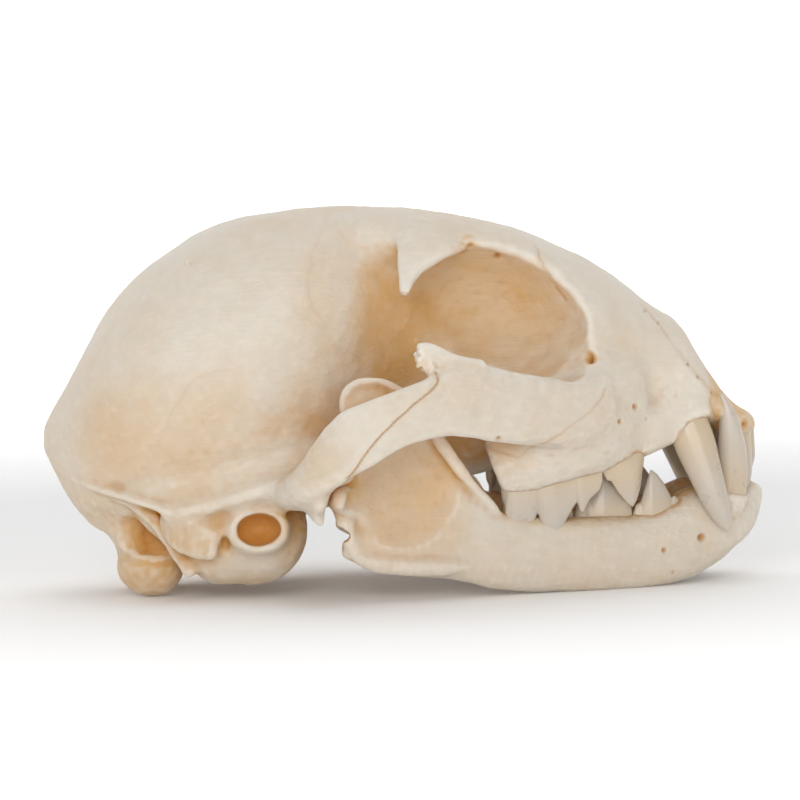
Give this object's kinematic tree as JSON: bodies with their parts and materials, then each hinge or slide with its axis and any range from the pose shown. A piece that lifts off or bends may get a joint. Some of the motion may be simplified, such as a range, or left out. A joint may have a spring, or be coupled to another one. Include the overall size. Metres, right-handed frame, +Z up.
{
  "type": "animal_skull",
  "caption": "Cleaned lynx skull with closed jaws, life size, resting on its lower jaws and on the two joint knobs at the back of the skull",
  "frame": {"origin": "on the floor, at the middle of the bounding box in plan; the middle of the skull is the plane y = 0", "axes": "+X to the snout, +Y to the animal's left, +Z up"},
  "size_m": [0.1341, 0.0944, 0.071],
  "materials": {
    "bone": "dry matte cleaned bone, warm ivory",
    "enamel": "smooth off-white tooth enamel"
  },
  "bodies": {
    "root": {"braincase": "bone", "face": "bone", "zygomatic_arch_right": "bone", "zygomatic_arch_left": "bone", "auditory_bulla_right": "bone", "auditory_bulla_left": "bone", "mandible_right": "bone", "mandible_left": "bone", "upper_canine_right": "enamel", "upper_canine_left": "enamel", "lower_canine_right": "enamel", "lower_canine_left": "enamel"}
  },
  "joints": []
}
